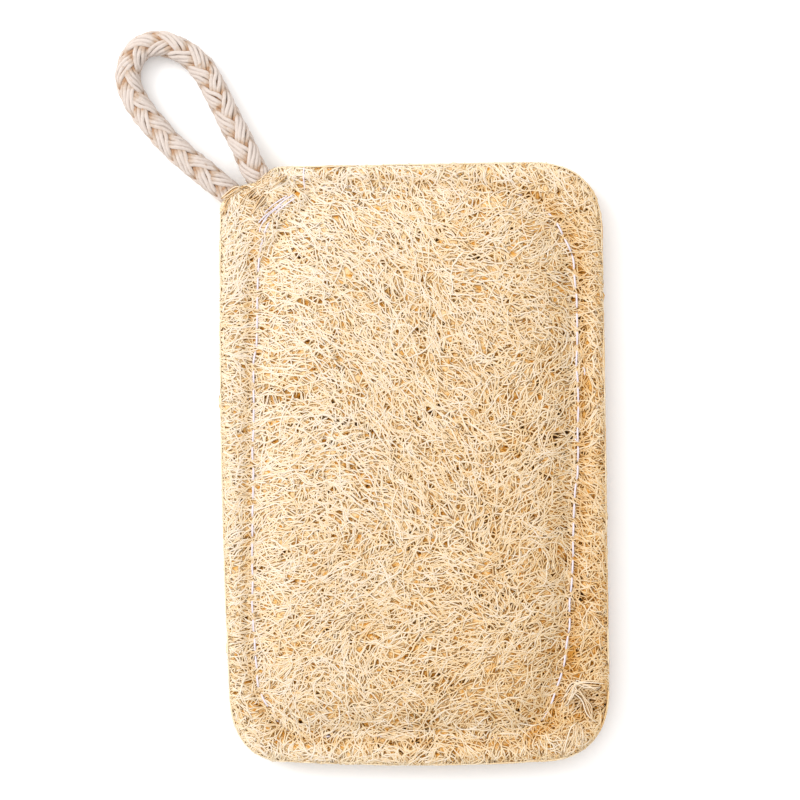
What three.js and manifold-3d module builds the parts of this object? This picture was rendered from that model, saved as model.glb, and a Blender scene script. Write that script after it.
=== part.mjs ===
import * as THREE from "three";
import { mergeVertices } from "three/addons/utils/BufferGeometryUtils.js";
import Module from "manifold-3d";

// A flat sewn dish scrubber of natural loofah with a hanging loop of braided cotton cord.
// Millimetres, +Z up. The pad lies on z = 0 with its length along Y and its front face up.
// The loop leaves the corner at -X, +Y.

// The two panels, stacked and sewn
const SEAM_PLANE = 6.5;
const PANEL_GAP = 0.3;
const CROWN_RISE = 7;
const VALLEY_RISE = 2.4;
const MARGIN_RISE = 0.9;
const VALLEY_HALF_WIDTH = 2.1;
const SHOULDER_WIDTH = 5.5;
const EDGE_ROUND = 3;
const EDGE_DROP = 1;
const LUMP_HEIGHT = 0.35;
const LUMP_SPREAD = 22;
const REST_SPOT_RADIUS = 9;

// The seam
const THREAD_DIAMETER = 0.7;
const THREAD_SIDES = 3;
const THREAD_CLEARANCE = 0.5;
const STITCH_LENGTH = 6;
const STEPS_PER_STITCH = 2;
const STITCH_RISE = 0.35;

// The cord and the pocket that it is sewn into
const CORD_DIAMETER = 6.5;
const CORD_SIDES = 8;
const CORD_STEPS = 52;
const POCKET_CLEARANCE = 0.35;
const POCKET_SIDES = 12;
const POCKET_STEPS = 8;
const POCKET_COVER = 1.4;

// The raised net of loofah fibre: lens-shaped cells between strands that join and part
const FRONT_NET = {
  seed: 11,
  flow: THREE.MathUtils.degToRad(-28),
  cellLength: 12,
  rowSpacing: 3.5,
  pitDepth: 2.2,
};
const BACK_NET = {
  seed: 47,
  flow: THREE.MathUtils.degToRad(24),
  cellLength: 14.5,
  rowSpacing: 4.3,
  pitDepth: 2.2,
};
const NET_REACH = 96;
const JOIN_SHARE = 0.68;
const JOIN_CHANGE = 0.14;
const STRAND_HALF_WIDTH = 0.9;
const STRAND_JITTER = 0.18;
const STRAND_WANDER = 0.05;
const STRAND_UNEVENNESS = 0.1;
const SWIRL_REACH = 5;
const SWIRL_SIZE = 34;
const SEAM_RELIEF = 0.12;
const MARGIN_RELIEF = 0.6;

// Closed loops as a start point and bends, each bend a control point and an end point.
// They run counterclockwise from the lower left corner.
const OUTLINE = {
  start: [-43, -53],
  bends: [
    [-42.4, -69, -30, -69.2],
    [-1, -71, 28, -69.2],
    [45.45, -69.4, 45.37, -52],
    [44.7, 1, 43.8, 53.5],
    [43.6, 70.1, 27, 70.1],
    [-1, 69.6, -30, 69.1],
    [-44.5, 67.5, -45.3, 56],
    [-45.8, 2, -43, -53],
  ],
};
const SEAM_LINE = {
  start: [-37, -44],
  bends: [
    [-35.6, -63.2, -22, -63],
    [0, -63.4, 22, -63.4],
    [33.5, -62.5, 35.9, -38],
    [38.8, 8, 37.4, 43],
    [35.7, 60, 22, 62.8],
    [0, 64, -21, 64.3],
    [-34.8, 61.5, -36.2, 47],
    [-38, -8, -37, -44],
  ],
};

// Centre line of the cord from its sewn end on the left, round the loop, to the other sewn end
const CORD_ROUTE = [
  [-34, 53.8, 6.5],
  [-37.4, 57.6, 6.5],
  [-41.3, 61.4, 6.5],
  [-45.9, 65.3, 6.4],
  [-51.4, 69.7, 5.9],
  [-56.2, 73.9, 5.2],
  [-60.5, 78.6, 4.5],
  [-63.9, 83, 3.9],
  [-66.4, 88, 3.5],
  [-66.2, 93, 3.4],
  [-63.7, 96.7, 3.4],
  [-59.8, 97.8, 3.4],
  [-55.4, 96.8, 3.4],
  [-51.7, 94.4, 3.5],
  [-48.9, 91.4, 3.7],
  [-46.9, 88, 4.1],
  [-44.8, 83.8, 4.7],
  [-42.6, 79.4, 5.3],
  [-40.5, 75.4, 5.8],
  [-38.6, 71.3, 6.3],
  [-36.9, 67.7, 6.5],
  [-34.6, 64.8, 6.5],
  [-31.6, 62.4, 6.5],
  [-28.2, 60, 6.5],
];
const BURIED_POINTS = 4;

// Materials
const loofah = new THREE.MeshStandardMaterial({ color: 0xe9cf98, roughness: 0.9, metalness: 0 });
const cotton = new THREE.MeshStandardMaterial({ color: 0xeee4d8, roughness: 0.95, metalness: 0 });
const thread = new THREE.MeshStandardMaterial({ color: 0xf6f1ea, roughness: 0.7, metalness: 0 });

const wasm = await Module();
wasm.setup();

// A draw of numbers from 0 to 1 that repeats for the same seed.
function seededDraw(seed) {
  let state = seed;
  return () => {
    state = (state + 0x6d2b79f5) | 0;
    let mixed = Math.imul(state ^ (state >>> 15), 1 | state);
    mixed = (mixed + Math.imul(mixed ^ (mixed >>> 7), 61 | mixed)) ^ mixed;
    return ((mixed ^ (mixed >>> 14)) >>> 0) / 4294967296;
  };
}

// Smooth noise from -1 to 1 that changes over about the given length.
function slowNoise(seed, length) {
  const side = 64;
  const draw = seededDraw(seed);
  const lattice = Array.from({ length: side * side }, () => 2 * draw() - 1);
  const at = (i, j) => lattice[(i & (side - 1)) * side + (j & (side - 1))];
  const ease = (t) => t * t * (3 - 2 * t);
  return (x, y) => {
    const i = Math.floor(x / length);
    const j = Math.floor(y / length);
    const s = ease(x / length - i);
    const t = ease(y / length - j);
    const low = THREE.MathUtils.lerp(at(i, j), at(i + 1, j), s);
    const high = THREE.MathUtils.lerp(at(i, j + 1), at(i + 1, j + 1), s);
    return THREE.MathUtils.lerp(low, high, t);
  };
}

function shapeOf(loop) {
  const shape = new THREE.Shape();
  shape.moveTo(...loop.start);
  loop.bends.forEach((bend) => shape.quadraticCurveTo(...bend));
  return shape;
}

function distanceToStretch(x, y, a, b) {
  const run = b.x - a.x;
  const climb = b.y - a.y;
  const along = ((x - a.x) * run + (y - a.y) * climb) / (run * run + climb * climb);
  const t = THREE.MathUtils.clamp(along, 0, 1);
  return Math.hypot(x - a.x - t * run, y - a.y - t * climb);
}

// How far a place lies inside a closed loop: negative outside it.
function depthInside(loop) {
  const points = shapeOf(loop).getPoints(8).slice(0, -1);
  const next = (i) => points[(i + 1) % points.length];
  return (x, y) => {
    let nearest = Infinity;
    let inside = false;
    points.forEach((a, i) => {
      const b = next(i);
      nearest = Math.min(nearest, distanceToStretch(x, y, a, b));
      if (a.y > y !== b.y > y && x < a.x + ((y - a.y) / (b.y - a.y)) * (b.x - a.x)) inside = !inside;
    });
    return inside ? nearest : -nearest;
  };
}

const depthFromEdge = depthInside(OUTLINE);
const depthFromSeam = depthInside(SEAM_LINE);
const lumps = slowNoise(5, LUMP_SPREAD);

// Distance in plan to the centre line of the nearer sewn end of the cord.
const cordEnds = [CORD_ROUTE.slice(0, BURIED_POINTS), CORD_ROUTE.slice(-BURIED_POINTS)].map((end) =>
  end.map(([x, y]) => new THREE.Vector2(x, y)),
);
function distanceToCord(x, y) {
  const stretches = cordEnds.flatMap((end) => end.slice(1).map((b, i) => [end[i], b]));
  return Math.min(...stretches.map(([a, b]) => distanceToStretch(x, y, a, b)));
}

// The hump that a sewn cord end raises in either panel, as a height from the seam plane.
function cordHump(x, y) {
  const radius = CORD_DIAMETER / 2 + POCKET_CLEARANCE + POCKET_COVER;
  const aside = distanceToCord(x, y);
  return Math.sqrt(Math.max(0, radius * radius - aside * aside));
}

// Height of either panel's face from the seam plane, without its net.
function panelRise(x, y) {
  const seamDepth = depthFromSeam(x, y);
  const past = Math.max(0, Math.abs(seamDepth) - VALLEY_HALF_WIDTH);
  const edgeShare = Math.max(0, 1 - depthFromEdge(x, y) / EDGE_ROUND);
  const crown = 1 - Math.exp(-((past / SHOULDER_WIDTH) ** 1.3));
  const margin = 1 - Math.exp(-(past ** 2) / 2);
  const rise =
    seamDepth > 0
      ? VALLEY_RISE + (CROWN_RISE - VALLEY_RISE) * crown + LUMP_HEIGHT * crown * lumps(x, y)
      : VALLEY_RISE + MARGIN_RISE * margin - EDGE_DROP * Math.min(edgeShare, 1.2) ** 2;
  return Math.max(rise, cordHump(x, y));
}

// How much of the net's full depth shows at a place.
function netShare(x, y) {
  const seamDepth = depthFromSeam(x, y);
  const fromSeam = THREE.MathUtils.smoothstep(Math.abs(seamDepth), VALLEY_HALF_WIDTH, 5);
  const open = seamDepth > 0 ? 1 : MARGIN_RELIEF;
  const share = THREE.MathUtils.lerp(SEAM_RELIEF, open, fromSeam);
  return share * THREE.MathUtils.smoothstep(distanceToCord(x, y), CORD_DIAMETER / 2, CORD_DIAMETER);
}

// The crests of the net's strands, as lines of points in the net's own plane. Each strand leans by
// turns to the strand above it and the one below, and so closes the lens-shaped cells.
function strandCrests(net) {
  const draw = seededDraw(net.seed);
  const join = slowNoise(net.seed + 3, net.cellLength);
  const columnStep = net.cellLength / 4;
  const columns = Math.ceil(NET_REACH / columnStep);
  const strands = Math.ceil(NET_REACH / net.rowSpacing);
  const crests = [];
  for (let strand = -strands; strand <= strands; strand += 1) {
    const lean = strand % 2 === 0 ? 1 : -1;
    const line = [];
    for (let column = -columns; column <= columns; column += 1) {
      const swing = Math.cos((Math.PI / 2) * column) * lean;
      const joined = JOIN_SHARE + JOIN_CHANGE * join(column * columnStep, strand * net.rowSpacing);
      const u = (column + STRAND_JITTER * (2 * draw() - 1)) * columnStep;
      const v = (strand + (swing * joined) / 2 + STRAND_WANDER * (2 * draw() - 1)) * net.rowSpacing;
      line.push({ u, v, relief: STRAND_UNEVENNESS * (2 * draw() - 1), pitShare: 0.65 + 0.5 * draw() });
    }
    crests.push(line);
  }
  return crests;
}

// The net's vertices in rows along the strands: a crest, its foot, and the foot of the next strand
// across the pit. Where two strands lie close, both feet rise and the strands join.
function netRows(net, face) {
  const swirlX = slowNoise(net.seed + 1, SWIRL_SIZE);
  const swirlY = slowNoise(net.seed + 2, SWIRL_SIZE);
  const crests = strandCrests(net);
  const place = (u, v, relief) => {
    const x = u * Math.cos(net.flow) - v * Math.sin(net.flow) + SWIRL_REACH * swirlX(u, v);
    const y = u * Math.sin(net.flow) + v * Math.cos(net.flow) + SWIRL_REACH * swirlY(u, v);
    return [x, y, SEAM_PLANE + face * faceRise(x, y, relief, face)];
  };
  const rows = [];
  crests.slice(0, -1).forEach((line, strand) => {
    const nextLine = crests[strand + 1];
    const feet = line.map((crest, column) => {
      const across = nextLine[column];
      const gap = across.v - crest.v;
      const footShare = Math.min(STRAND_HALF_WIDTH / gap, 0.4);
      const opening = THREE.MathUtils.smoothstep(gap, 0.1 * net.rowSpacing, 1.3 * net.rowSpacing);
      const relief = -net.pitDepth * opening * crest.pitShare;
      return [footShare, 1 - footShare].map((share) => {
        const u = THREE.MathUtils.lerp(crest.u, across.u, share);
        return place(u, crest.v + share * gap, relief);
      });
    });
    rows.push(line.map(({ u, v, relief }) => place(u, v, relief)));
    rows.push(feet.map(([near]) => near));
    rows.push(feet.map(([, far]) => far));
  });
  return rows;
}

// Height of the netted face from the seam plane. The back is pressed flat where the pad rests.
function faceRise(x, y, relief, face) {
  const rise = panelRise(x, y);
  const netted = rise + relief * netShare(x, y);
  if (face > 0) return netted;
  const open = THREE.MathUtils.smoothstep(Math.hypot(x, y), REST_SPOT_RADIUS, 1.3 * REST_SPOT_RADIUS);
  return Math.min(SEAM_PLANE, THREE.MathUtils.lerp(rise, netted, open));
}

// A block between the netted face and a level well past the seam plane, as a closed mesh.
function netBlock(net, face) {
  const grid = netRows(net, face);
  const last = grid.length - 1;
  const side = grid[0].length;
  const level = SEAM_PLANE - 2 * face;
  const points = grid.flat();
  const faces = [];
  const addFace = (a, b, c) => faces.push(face > 0 ? [a, b, c] : [a, c, b]);
  for (let row = 0; row < last; row += 1) {
    for (let column = 0; column < side - 1; column += 1) {
      const a = row * side + column;
      const [b, c, d] = [a + 1, a + side + 1, a + side];
      if ((row + column) % 2 === 0) {
        addFace(a, b, c);
        addFace(a, c, d);
      } else {
        addFace(a, b, d);
        addFace(b, c, d);
      }
    }
  }
  const rim = [];
  for (let column = 0; column < side; column += 1) rim.push(column);
  for (let row = 1; row <= last; row += 1) rim.push(row * side + side - 1);
  for (let column = side - 2; column >= 0; column -= 1) rim.push(last * side + column);
  for (let row = last - 1; row > 0; row -= 1) rim.push(row * side);
  const foot = points.length;
  rim.forEach((index) => points.push([points[index][0], points[index][1], level]));
  const hub = points.length;
  points.push([0, 0, level]);
  rim.forEach((index, i) => {
    const nextIndex = rim[(i + 1) % rim.length];
    const [low, nextLow] = [foot + i, foot + ((i + 1) % rim.length)];
    addFace(index, low, nextLow);
    addFace(index, nextLow, nextIndex);
    addFace(low, hub, nextLow);
  });
  return new wasm.Manifold(
    new wasm.Mesh({
      numProp: 3,
      vertProperties: new Float32Array(points.flat()),
      triVerts: new Uint32Array(faces.flat()),
    }),
  );
}

function solidOf(geometry) {
  geometry.deleteAttribute("normal");
  geometry.deleteAttribute("uv");
  const merged = mergeVertices(geometry, 1e-4);
  return new wasm.Manifold(
    new wasm.Mesh({
      numProp: 3,
      vertProperties: merged.attributes.position.array,
      triVerts: new Uint32Array(merged.index.array),
    }),
  );
}

function geometryOf(solid) {
  const { numProp, vertProperties, triVerts } = solid.getMesh();
  const positions = new Float32Array((vertProperties.length / numProp) * 3);
  for (let i = 0; i < positions.length / 3; i += 1) {
    positions.set(vertProperties.subarray(i * numProp, i * numProp + 3), i * 3);
  }
  const geometry = new THREE.BufferGeometry();
  geometry.setAttribute("position", new THREE.BufferAttribute(positions, 3));
  geometry.setIndex(new THREE.BufferAttribute(triVerts, 1));
  geometry.computeVertexNormals();
  return geometry;
}

// A regular section for tubes, with its corners at the given radius.
function roundSection(radius, sides) {
  const turn = (2 * Math.PI) / sides;
  const corners = Array.from({ length: sides }, (_, i) => {
    return new THREE.Vector2(radius * Math.cos(i * turn), radius * Math.sin(i * turn));
  });
  return new THREE.Shape(corners);
}

function curveThrough(points, closed = false) {
  return new THREE.CatmullRomCurve3(
    points.map((point) => new THREE.Vector3(...point)),
    closed,
    "centripetal",
  );
}

function tube(curve, radius, sides, steps) {
  return new THREE.ExtrudeGeometry(roundSection(radius, sides), {
    extrudePath: curve,
    steps,
    curveSegments: 1,
  });
}

function prism(bottom, top) {
  const geometry = new THREE.ExtrudeGeometry(shapeOf(OUTLINE), {
    depth: top - bottom,
    bevelEnabled: false,
    curveSegments: 8,
  });
  return solidOf(geometry.translate(0, 0, bottom));
}

// The pocket round one sewn end of the cord, open past the pad's edge.
function cordPocket(end) {
  const radius = (CORD_DIAMETER / 2 + POCKET_CLEARANCE) / Math.cos(Math.PI / POCKET_SIDES);
  const [inner, next] = end.map((point) => new THREE.Vector3(...point));
  const beyond = inner.clone().add(inner.clone().sub(next).setLength(POCKET_CLEARANCE));
  const route = [beyond.toArray(), ...end.slice(1)];
  return solidOf(tube(curveThrough(route), radius, POCKET_SIDES, POCKET_STEPS));
}

const pockets = [
  cordPocket(CORD_ROUTE.slice(0, BURIED_POINTS + 2)),
  cordPocket(CORD_ROUTE.slice(-BURIED_POINTS - 2).reverse()),
];

function panel(net, face) {
  const inner = SEAM_PLANE + (face * PANEL_GAP) / 2;
  const outer = SEAM_PLANE + face * 2 * CROWN_RISE;
  const cutter = prism(Math.min(inner, outer), Math.max(inner, outer));
  let solid = netBlock(net, face).intersect(cutter);
  pockets.forEach((pocket) => {
    solid = solid.subtract(pocket);
  });
  const [whole] = solid.decompose().sort((a, b) => b.volume() - a.volume());
  return geometryOf(whole);
}

// One thread of the lockstitch seam: a closed ring that lies on a panel and lifts at each stitch.
function seamThread(face) {
  const line = shapeOf(SEAM_LINE);
  const stitches = Math.round(line.getLength() / STITCH_LENGTH);
  const places = line.getSpacedPoints(stitches * STEPS_PER_STITCH).slice(0, -1);
  const points = places.map(({ x, y }, i) => {
    const lift = STITCH_RISE * Math.sin((Math.PI * i) / STEPS_PER_STITCH) ** 2;
    const height = panelRise(x, y) + THREAD_CLEARANCE + THREAD_DIAMETER / 2 + lift;
    return [x, y, SEAM_PLANE + face * height];
  });
  return tube(curveThrough(points, true), THREAD_DIAMETER / 2, THREAD_SIDES, places.length);
}

function addPiece(group, name, geometry, material) {
  const mesh = new THREE.Mesh(geometry, material);
  mesh.name = name;
  group.add(mesh);
}

const scrubber = new THREE.Group();
addPiece(scrubber, "front_panel", panel(FRONT_NET, 1), loofah);
addPiece(scrubber, "back_panel", panel(BACK_NET, -1), loofah);
addPiece(scrubber, "needle_thread", seamThread(1), thread);
addPiece(scrubber, "bobbin_thread", seamThread(-1), thread);
addPiece(
  scrubber,
  "hanging_loop",
  tube(curveThrough(CORD_ROUTE), CORD_DIAMETER / 2, CORD_SIDES, CORD_STEPS),
  cotton,
);

export default scrubber;
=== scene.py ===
import math
import bmesh
import bpy
import numpy as np
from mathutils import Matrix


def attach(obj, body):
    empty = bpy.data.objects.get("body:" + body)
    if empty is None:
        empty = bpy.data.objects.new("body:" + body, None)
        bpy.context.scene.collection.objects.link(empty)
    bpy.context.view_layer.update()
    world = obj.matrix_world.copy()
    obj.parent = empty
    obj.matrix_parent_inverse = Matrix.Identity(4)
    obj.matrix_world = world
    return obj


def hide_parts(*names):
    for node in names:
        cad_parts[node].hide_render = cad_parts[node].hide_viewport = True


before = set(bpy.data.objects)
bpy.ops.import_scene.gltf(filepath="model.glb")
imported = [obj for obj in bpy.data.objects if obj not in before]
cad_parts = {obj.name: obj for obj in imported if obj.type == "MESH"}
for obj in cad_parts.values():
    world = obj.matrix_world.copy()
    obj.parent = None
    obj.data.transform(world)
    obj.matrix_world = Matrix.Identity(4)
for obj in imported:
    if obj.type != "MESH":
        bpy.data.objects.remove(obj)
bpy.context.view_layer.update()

MM = 0.001


# Camera, looking straight down on the pad as it lies on its back face. The picture is square, and
# its middle is to the left of the pad's middle and nearer the cord's end
PHOTO_PIXELS = 800
PIXEL_SIZE = 0.2318 * MM
VIEW_CENTRE = (-3.28 * MM, 14.78 * MM)
EYE_HEIGHT = 900 * MM
PAD_MIDDLE_HEIGHT = 8 * MM
SENSOR = 36.0
camera_data = bpy.data.cameras.new("camera")
camera_data.sensor_width = SENSOR
camera_data.lens = SENSOR * EYE_HEIGHT / (PHOTO_PIXELS * PIXEL_SIZE)
camera = bpy.data.objects.new("camera", camera_data)
camera.location = (*VIEW_CENTRE, EYE_HEIGHT + PAD_MIDDLE_HEIGHT)
bpy.context.collection.objects.link(camera)
bpy.context.scene.camera = camera


# White paper floor in a bright studio: even light from all round, and two soft boxes at the upper
# left and above, which leave hardly a shadow
FLOOR_HALF_WIDTH = 3.0
SKY_STRENGTH = 1.03
KEY_SOFT_BOX = {"place": (-0.75, 0.45, 0.75), "size": 0.6, "power": 6.9}
TOP_SOFT_BOX = {"place": (-0.1, 0.3, 1.2), "size": 0.9, "power": 3.0}


def linear(hex_colour):
    """An sRGB hex colour as linear RGBA."""
    channels = [int(hex_colour[i : i + 2], 16) / 255 for i in (0, 2, 4)]
    bent = [c / 12.92 if c <= 0.04045 else ((c + 0.055) / 1.055) ** 2.4 for c in channels]
    return (*bent, 1.0)


def add_node(material, kind, settings=None, **links):
    """Adds one node with its settings, and links or sets its inputs by name."""
    node = material.node_tree.nodes.new(kind)
    for name, value in (settings or {}).items():
        setattr(node, name, value)
    for name, value in links.items():
        socket = node.inputs[name.replace("_", " ")]
        if isinstance(value, bpy.types.NodeSocket):
            material.node_tree.links.new(value, socket)
        else:
            socket.default_value = value
    return node


def new_material(name):
    """A material with only its Principled shader and output."""
    material = bpy.data.materials.new(name)
    material.use_nodes = True
    return material, material.node_tree.nodes["Principled BSDF"]


def link(material, output, socket):
    material.node_tree.links.new(output, socket)


bpy.context.scene.view_settings.view_transform = "Standard"

floor_bm = bmesh.new()
bmesh.ops.create_grid(floor_bm, x_segments=1, y_segments=1, size=FLOOR_HALF_WIDTH)
floor_mesh = bpy.data.meshes.new("floor")
floor_bm.to_mesh(floor_mesh)
floor_bm.free()
floor = bpy.data.objects.new("floor", floor_mesh)
bpy.context.collection.objects.link(floor)
# White paper: matt and even, so that it fades into the background
paper, paper_shader = new_material("white_paper")
paper_shader.inputs["Base Color"].default_value = linear("FFFFFF")
paper_shader.inputs["Roughness"].default_value = 0.9
floor_mesh.materials.append(paper)

world = bpy.data.worlds.new("studio")
world.use_nodes = True
world.node_tree.nodes["Background"].inputs["Color"].default_value = linear("FFFFFF")
world.node_tree.nodes["Background"].inputs["Strength"].default_value = SKY_STRENGTH
bpy.context.scene.world = world


def add_light(name, place, size, power):
    """A square soft box at a place, facing the middle of the pad's underside."""
    data = bpy.data.lights.new(name, "AREA")
    data.size = size
    data.energy = power
    light = bpy.data.objects.new(name, data)
    light.location = place
    aim = [-p for p in place]
    light.rotation_euler = (
        math.atan2(math.hypot(aim[0], aim[1]), -aim[2]),
        0.0,
        math.atan2(aim[1], aim[0]) - math.pi / 2,
    )
    bpy.context.collection.objects.link(light)


add_light("key_soft_box", **KEY_SOFT_BOX)
add_light("top_soft_box", **TOP_SOFT_BOX)


# Hanging loop: a round cord of undyed cotton, braided from eight flat strands of four yarns. It is
# bent to a loop, and both its ends lie between the panels, where the seam and a bar of stitches
# hold them. The route runs from one sewn end to the other, in millimetres
CORD_DIAMETER = 6.5 * MM
CORD_ROUTE = [
    (-34, 53.8, 6.5),
    (-37.4, 57.6, 6.5),
    (-41.3, 61.4, 6.5),
    (-45.9, 65.3, 6.4),
    (-51.4, 69.7, 5.9),
    (-56.2, 73.9, 5.2),
    (-60.5, 78.6, 4.5),
    (-63.9, 83, 3.9),
    (-66.4, 88, 3.5),
    (-66.2, 93, 3.4),
    (-63.7, 96.7, 3.4),
    (-59.8, 97.8, 3.4),
    (-55.4, 96.8, 3.4),
    (-51.7, 94.4, 3.5),
    (-48.9, 91.4, 3.7),
    (-46.9, 88, 4.1),
    (-44.8, 83.8, 4.7),
    (-42.6, 79.4, 5.3),
    (-40.5, 75.4, 5.8),
    (-38.6, 71.3, 6.3),
    (-36.9, 67.7, 6.5),
    (-34.6, 64.8, 6.5),
    (-31.6, 62.4, 6.5),
    (-28.2, 60, 6.5),
]
STRANDS_EACH_WAY = 4
YARNS_IN_STRAND = 4
YARN_RADIUS = 0.54 * MM
YARN_SPACING = 1.48 * YARN_RADIUS
YARN_SWAY = 0.13 * MM
SWAY_KNOTS = 60
BRAID_RADIUS = 2.24 * MM
BRAID_WEAVE = 0.46 * MM
BRAID_ANGLE = math.radians(28)
BRAID_START = 0.35
BRAID_STEP = 0.8 * MM
CORE_RADIUS = BRAID_RADIUS - 0.35 * MM
# The core shows only in the gaps between the yarns, and it is painted dark there as shade
CORE_SHADE_TONE = 0.15
YARN_SIDES = 6
# The fuzz is drawn much coarser than the real hairs, which are too fine to show
FUZZ_SIZE = 0.833 * MM
HULL_FLECK_SIZE = 1.667 * MM


def smooth_line(points, step):
    """Points at even steps along a smooth curve through given points."""
    points = np.array(points, float)
    ends = np.vstack([2 * points[0] - points[1], points, 2 * points[-1] - points[-2]])
    share = np.linspace(0, 1, 24, endpoint=False)[:, None]
    pieces = []
    for a, b, c, d in zip(ends, ends[1:], ends[2:], ends[3:]):
        bend = 2 * a - 5 * b + 4 * c - d
        curl = 3 * b - a - 3 * c + d
        pieces.append(0.5 * (2 * b + (c - a) * share + bend * share**2 + curl * share**3))
    fine = np.vstack([*pieces, points[-1:]])
    run = np.concatenate([[0], np.cumsum(np.linalg.norm(np.diff(fine, axis=0), axis=1))])
    places = np.linspace(0, run[-1], max(2, round(run[-1] / step)) + 1)
    return np.stack([np.interp(places, run, fine[:, i]) for i in range(3)], axis=1), places


def across_line(line):
    """Unit vectors to the side of a line and out of it on its upper side."""
    ahead = np.gradient(line, axis=0)
    ahead /= np.linalg.norm(ahead, axis=1, keepdims=True)
    side = np.cross(ahead, (0.0, 0.0, 1.0))
    side /= np.linalg.norm(side, axis=1, keepdims=True)
    return side, np.cross(side, ahead)


def profile_curve(name, sides):
    """A regular closed outline of radius 1 with one corner up, for the section of a fibre."""
    data = bpy.data.curves.new(name, "CURVE")
    data.dimensions = "2D"
    spline = data.splines.new("POLY")
    spline.points.add(sides - 1)
    for i, point in enumerate(spline.points):
        turn = 2 * math.pi * i / sides
        point.co = (math.sin(turn), math.cos(turn), 0.0, 1.0)
    spline.use_cyclic_u = True
    profile = bpy.data.objects.new(name, data)
    bpy.context.collection.objects.link(profile)
    return profile


def mesh_of_lines(name, lines, radii, sides, closed=False, tones=None, ridge_shade=0.0):
    """One mesh of tubes along many lines, with painted light on the top ridge of each and painted
    shade on its lower sides; open ones end in a point.
    """
    data = bpy.data.curves.new(name, "CURVE")
    data.dimensions = "3D"
    data.twist_mode = "Z_UP"
    data.bevel_mode = "OBJECT"
    profile = profile_curve(name + "_section", sides)
    data.bevel_object = profile
    for line, radius in zip(lines, radii):
        spline = data.splines.new("POLY")
        spline.points.add(len(line) - 1)
        flat = np.ones((len(line), 4))
        flat[:, :3] = line
        spline.points.foreach_set("co", flat.ravel())
        sizes = np.full(len(line), 1.0) * radius
        if not closed:
            sizes[[0, -1]] = 0.0
        spline.points.foreach_set("radius", sizes)
        spline.use_cyclic_u = closed
    holder = bpy.data.objects.new(name, data)
    bpy.context.collection.objects.link(holder)
    shown = holder.evaluated_get(bpy.context.evaluated_depsgraph_get())
    mesh = bpy.data.meshes.new_from_object(shown)
    mesh.name = name
    bpy.data.objects.remove(holder)
    bpy.data.objects.remove(profile)
    bpy.data.curves.remove(data)
    if tones is not None:
        # Painted light and shade: the top corner of each section paler, the lower corners darker
        ridge_shading = ridge_shade * np.cos(2 * math.pi * np.arange(sides) / sides)
        shades = (tones[:, None] + ridge_shading).ravel()
        mesh.attributes.new("tone", "FLOAT", "POINT").data.foreach_set("value", shades)
    bm = bmesh.new()
    bm.from_mesh(mesh)
    bmesh.ops.remove_doubles(bm, verts=bm.verts, dist=1e-8)
    bm.to_mesh(mesh)
    bm.free()
    mesh.shade_smooth()
    return mesh


def add_piece(name, mesh, material, slot, *nodes):
    """Puts a mesh in the scene as a piece that stands for CAD nodes."""
    mesh.materials.clear()
    mesh.materials.append(material)
    piece = bpy.data.objects.new(name, mesh)
    bpy.context.collection.objects.link(piece)
    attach(piece, "root")
    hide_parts(*nodes)
    return piece


def braid_weave(crossing):
    """Over two strands, then under two: 1 on top, -1 below."""
    return np.clip(1.35 * np.cos(math.pi / 2 * (crossing - 0.5)), -1, 1)


cord_line, cord_run = smooth_line(np.array(CORD_ROUTE) * MM, BRAID_STEP)
cord_side, cord_up = across_line(cord_line)
cord_turn = math.tan(BRAID_ANGLE) / BRAID_RADIUS
yarn_rng = np.random.RandomState(12)
yarn_lines = []
yarn_tones_and_shade = []
for way in (1, -1):
    for strand in range(STRANDS_EACH_WAY):
        for yarn in range(YARNS_IN_STRAND):
            knots = yarn_rng.normal(0, YARN_SWAY, (2, SWAY_KNOTS))
            knot_run = np.linspace(0, cord_run[-1], SWAY_KNOTS)
            sway, swell = [np.interp(cord_run, knot_run, knot) for knot in knots]
            from_middle = yarn - (YARNS_IN_STRAND - 1) / 2
            aside = from_middle * YARN_SPACING + sway
            along = cord_run - way * aside * math.sin(BRAID_ANGLE)
            crossing = STRANDS_EACH_WAY * cord_turn * cord_run / math.pi
            level = way * braid_weave(way * crossing + 2 * strand)
            turn = way * cord_turn * cord_run + 2 * math.pi * strand / STRANDS_EACH_WAY
            turn = turn + aside * math.cos(BRAID_ANGLE) / BRAID_RADIUS + BRAID_START
            edge = abs(from_middle) / YARNS_IN_STRAND
            out = BRAID_RADIUS + BRAID_WEAVE * level - 0.9 * edge * YARN_RADIUS + 0.6 * swell
            centre = np.stack([np.interp(along, cord_run, cord_line[:, i]) for i in range(3)], axis=1)
            ring = np.cos(turn)[:, None] * cord_side + np.sin(turn)[:, None] * cord_up
            yarn_lines.append(centre + out[:, None] * ring)
            # Painted shade: a yarn is darker where it dips under the crossing strands and at the
            # edges of its strand, plus a random tone of its own
            yarn_tones_and_shade.append(0.6 * level - 0.05 - 0.4 * edge + yarn_rng.normal(0, 0.06))
yarn_lines.append(cord_line)
yarn_tones_and_shade.append(np.full(len(cord_line), CORE_SHADE_TONE))
yarn_radii = [YARN_RADIUS] * (len(yarn_lines) - 1) + [CORE_RADIUS]
yarn_tones_and_shade = np.concatenate(yarn_tones_and_shade)
cord_mesh = mesh_of_lines("hanging_loop_braid", yarn_lines, yarn_radii, YARN_SIDES, tones=yarn_tones_and_shade)
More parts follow.
